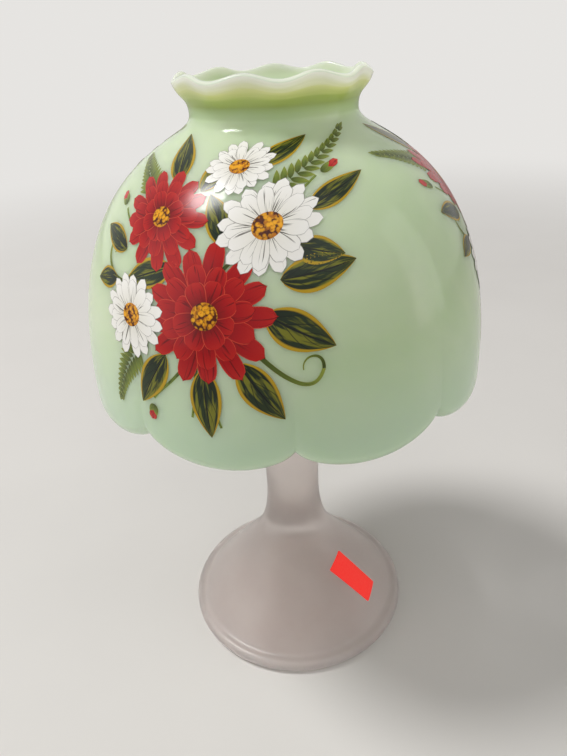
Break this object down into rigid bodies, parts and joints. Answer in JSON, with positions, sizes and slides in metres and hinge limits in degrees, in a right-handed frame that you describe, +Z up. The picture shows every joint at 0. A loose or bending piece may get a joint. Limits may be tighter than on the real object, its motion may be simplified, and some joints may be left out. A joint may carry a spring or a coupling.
{
  "type": "fairy lamp",
  "caption": "Candle fairy lamp: scalloped opal glass shade with a ruffled neck, lifted off a brass ring on a frosted glass pedestal with a candle cup.",
  "frame": {"origin": "centre of the foot's underside", "axes": "+Z up along the lamp's axis, -Y towards the viewer"},
  "size_m": [0.1298, 0.1296, 0.206],
  "materials": {
    "opal_glass": "gloss",
    "frosted_glass": "satin",
    "clear_glass": "gloss",
    "label_paper": "matte",
    "brass": "satin",
    "tin": "satin",
    "wax": "satin",
    "cotton": "matte",
    "tinned_steel": "satin"
  },
  "bodies": {
    "pedestal": {"pedestal_base": "frosted_glass", "price_sticker": "label_paper"},
    "gallery": {"hub_collar": "brass", "ring_arm_1": "brass", "ring_arm_2": "brass", "ring_arm_3": "brass", "arm_rivets": "brass", "shade_ring": "brass"},
    "glass_shade": {"shade": "opal_glass"},
    "cup": {"candle_cup": "clear_glass"},
    "tealight": {"tealight_tin": "tin", "tealight_wax": "wax", "wick": "cotton", "wick_sustainer": "tinned_steel"}
  },
  "joints": [
    {"name": "shade_turn", "type": "hinge", "parent": "pedestal", "child": "gallery", "pos_m": [0, 0, 0.107], "axis": [0, 0, 1], "continuous": true},
    {"name": "shade_lift", "type": "slide", "parent": "gallery", "child": "glass_shade", "axis": [0, 0, 1], "range_m": [0, 0.15]},
    {"name": "candle_cup_lift", "type": "slide", "parent": "pedestal", "child": "cup", "axis": [0, 0, 1], "range_m": [0, 0.045]},
    {"name": "tealight_lift", "type": "slide", "parent": "cup", "child": "tealight", "axis": [0, 0, 1], "range_m": [0, 0.04]}
  ]
}
